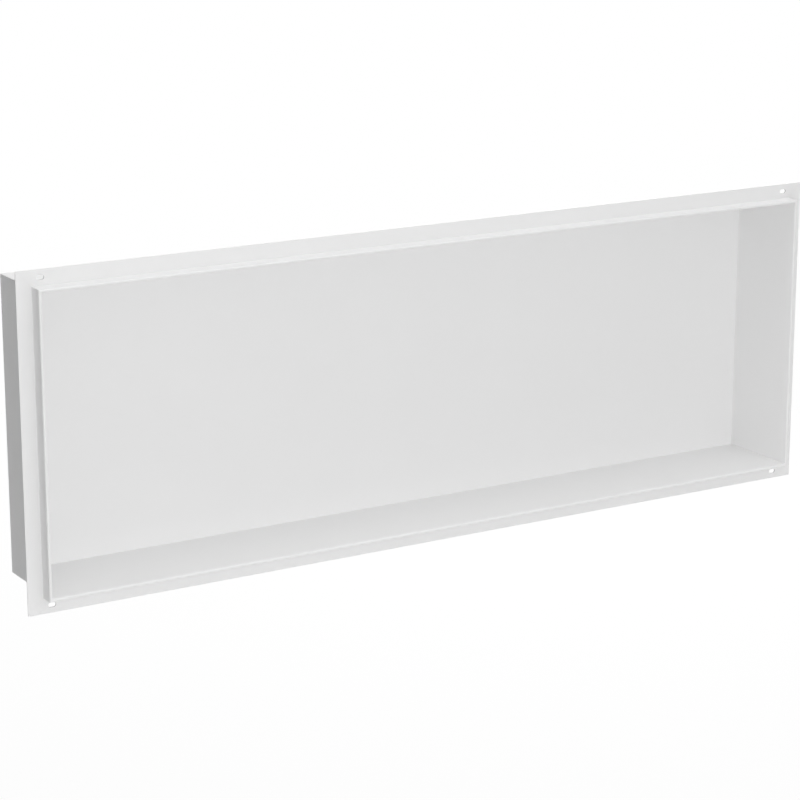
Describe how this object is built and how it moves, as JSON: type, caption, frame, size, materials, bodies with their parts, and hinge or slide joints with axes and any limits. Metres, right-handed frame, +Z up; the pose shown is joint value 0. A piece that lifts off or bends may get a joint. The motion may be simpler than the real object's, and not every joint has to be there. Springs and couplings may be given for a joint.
{
  "type": "shower niche insert",
  "caption": "Wide white sheet-steel niche insert for a shower wall: an open-fronted box with a folded lip that tiles butt against and a slotted flange that screws to the wall.",
  "frame": {"origin": "middle of the fixing slots, on the back face of the flange, which lies on the wall", "axes": "+X along the niche's width, +Y into the wall, +Z up; the open front and the lip face -Y"},
  "size_m": [0.939, 0.099, 0.339],
  "materials": {
    "white_powder_coat": "satin white powder coat with a very fine orange peel"
  },
  "bodies": {
    "root": {"niche_body": "white_powder_coat"}
  },
  "joints": []
}
